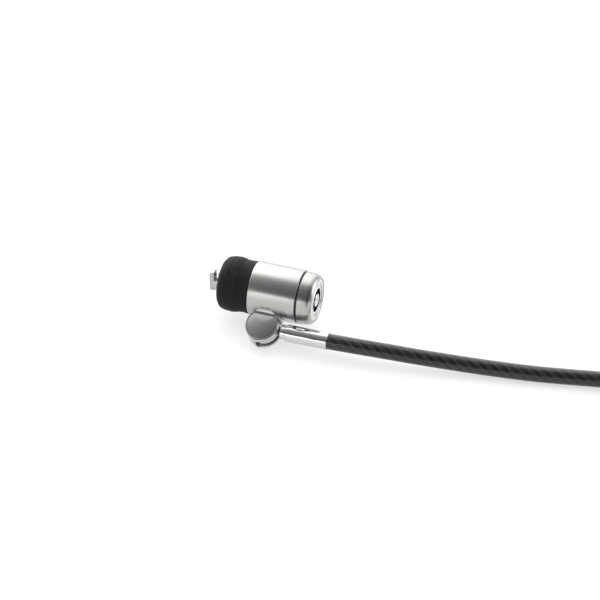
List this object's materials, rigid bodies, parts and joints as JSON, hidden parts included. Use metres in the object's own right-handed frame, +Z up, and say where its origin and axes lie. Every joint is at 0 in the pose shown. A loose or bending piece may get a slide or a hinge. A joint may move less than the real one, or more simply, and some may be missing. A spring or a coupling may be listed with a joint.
{
  "type": "laptop cable lock",
  "caption": "Keyed laptop lock: round head with T-bar nose and rubber bumper, swivel sleeve, side pivot and coated steel cable ending in a crimped loop.",
  "frame": {"origin": "bottom centre of the lock's own box, without the cable, on the desk it lies on", "axes": "+X along the barrel from the nose to the keyway, +Z up, the pivot and cable lie on the -Y side"},
  "size_m": [0.2356, 0.0481, 0.0277],
  "materials": {
    "satin_nickel": "satin nickel, fine grain",
    "polished_nickel": "polished nickel",
    "brass": "machined brass",
    "steel": "machined steel",
    "spring_steel": "drawn spring wire",
    "rubber": "matt black, faintly mottled",
    "black_nylon": "black nylon",
    "cable_jacket": "smoke-clear vinyl over steel strand",
    "tie_strap": "woven hook-and-loop strap"
  },
  "bodies": {
    "cable_end": {"cable_link": "polished_nickel", "crimp_ferrule": "polished_nickel", "rope_end": "steel", "cable_lead": "cable_jacket", "cable_hank": "cable_jacket", "hank_tie_1": "tie_strap", "hank_tie_2": "tie_strap", "cable_tail": "cable_jacket", "loop_ferrule": "polished_nickel", "cable_loop": "cable_jacket"},
    "swivel": {"swivel_sleeve": "satin_nickel", "pivot_pin": "steel", "pivot_inlay": "satin_nickel"},
    "lock_core": {"rubber_bumper": "rubber", "nose_plate": "steel", "core_shell": "polished_nickel", "front_cap": "satin_nickel", "groove_ring": "black_nylon", "spindle_bush": "brass", "spacer_tube": "steel", "pin_carrier": "brass", "carrier_pin": "steel", "driver_pin_1": "steel", "driver_pin_2": "steel", "driver_pin_3": "steel", "driver_pin_4": "steel", "driver_pin_5": "steel", "driver_pin_6": "steel", "driver_pin_7": "steel", "pin_spring_1": "spring_steel", "pin_spring_2": "spring_steel", "pin_spring_3": "spring_steel", "pin_spring_4": "spring_steel", "pin_spring_5": "spring_steel", "pin_spring_6": "spring_steel", "pin_spring_7": "spring_steel"},
    "key_plug": {"key_plug": "brass", "t_bar": "steel", "spindle_clip": "spring_steel", "key_pin_1": "brass", "key_pin_2": "brass", "key_pin_3": "brass", "key_pin_4": "brass", "key_pin_5": "brass", "key_pin_6": "brass", "key_pin_7": "brass"}
  },
  "joints": [
    {"name": "cable_pivot", "type": "hinge", "parent": "cable_end", "child": "swivel", "pos_m": [-0.0001, -0.00615, 0.00524], "axis": [0, -0.515, 0.8572], "range_deg": [0, 85]},
    {"name": "head_swivel", "type": "hinge", "parent": "swivel", "child": "lock_core", "pos_m": [0, 0.00396, 0.01132], "axis": [1, 0, 0], "continuous": true},
    {"name": "key_turn", "type": "hinge", "parent": "lock_core", "child": "key_plug", "pos_m": [0, 0.00396, 0.01132], "axis": [1, 0, 0], "range_deg": [0, 90]}
  ]
}
